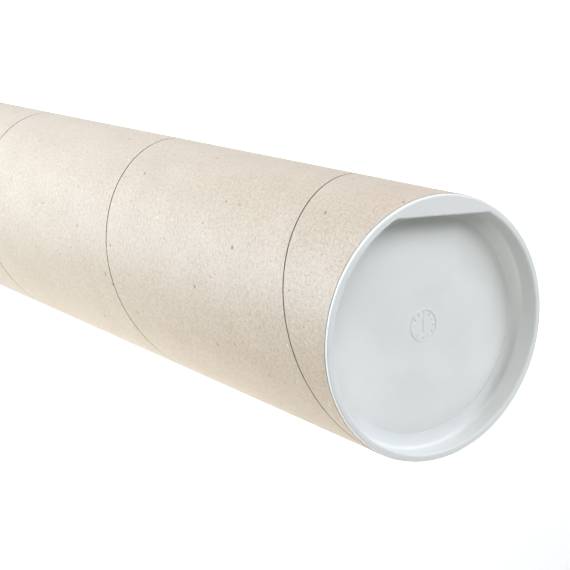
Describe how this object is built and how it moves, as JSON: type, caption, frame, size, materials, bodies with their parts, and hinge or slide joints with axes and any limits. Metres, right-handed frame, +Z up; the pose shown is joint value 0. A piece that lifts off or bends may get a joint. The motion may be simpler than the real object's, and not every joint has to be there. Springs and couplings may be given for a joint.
{
  "type": "mailing tube",
  "caption": "Round spiral-wound cardboard mailing tube, closed at each end by a recessed white plastic push-in cap with a pull ledge.",
  "frame": {"origin": "centre of the bottom cap's outer face, on the ground that the tube stands on", "axes": "+Z up along the tube's axis, +X towards the top cap's pull ledge"},
  "size_m": [0.1056, 0.1056, 0.6126],
  "materials": {
    "kraft": "uncoated kraft paper, matt and finely mottled",
    "cap_plastic": "white polyethylene, semi-matt"
  },
  "bodies": {
    "bottom_cap": {"bottom_cap": "cap_plastic"},
    "tube": {"tube": "kraft"},
    "top_cap": {"top_cap": "cap_plastic"}
  },
  "joints": [
    {"name": "tube_pull", "type": "slide", "parent": "bottom_cap", "child": "tube", "axis": [0, 0, 1], "range_m": [0, 0.06]},
    {"name": "top_cap_pull", "type": "slide", "parent": "tube", "child": "top_cap", "axis": [0, 0, 1], "range_m": [0, 0.06]}
  ]
}
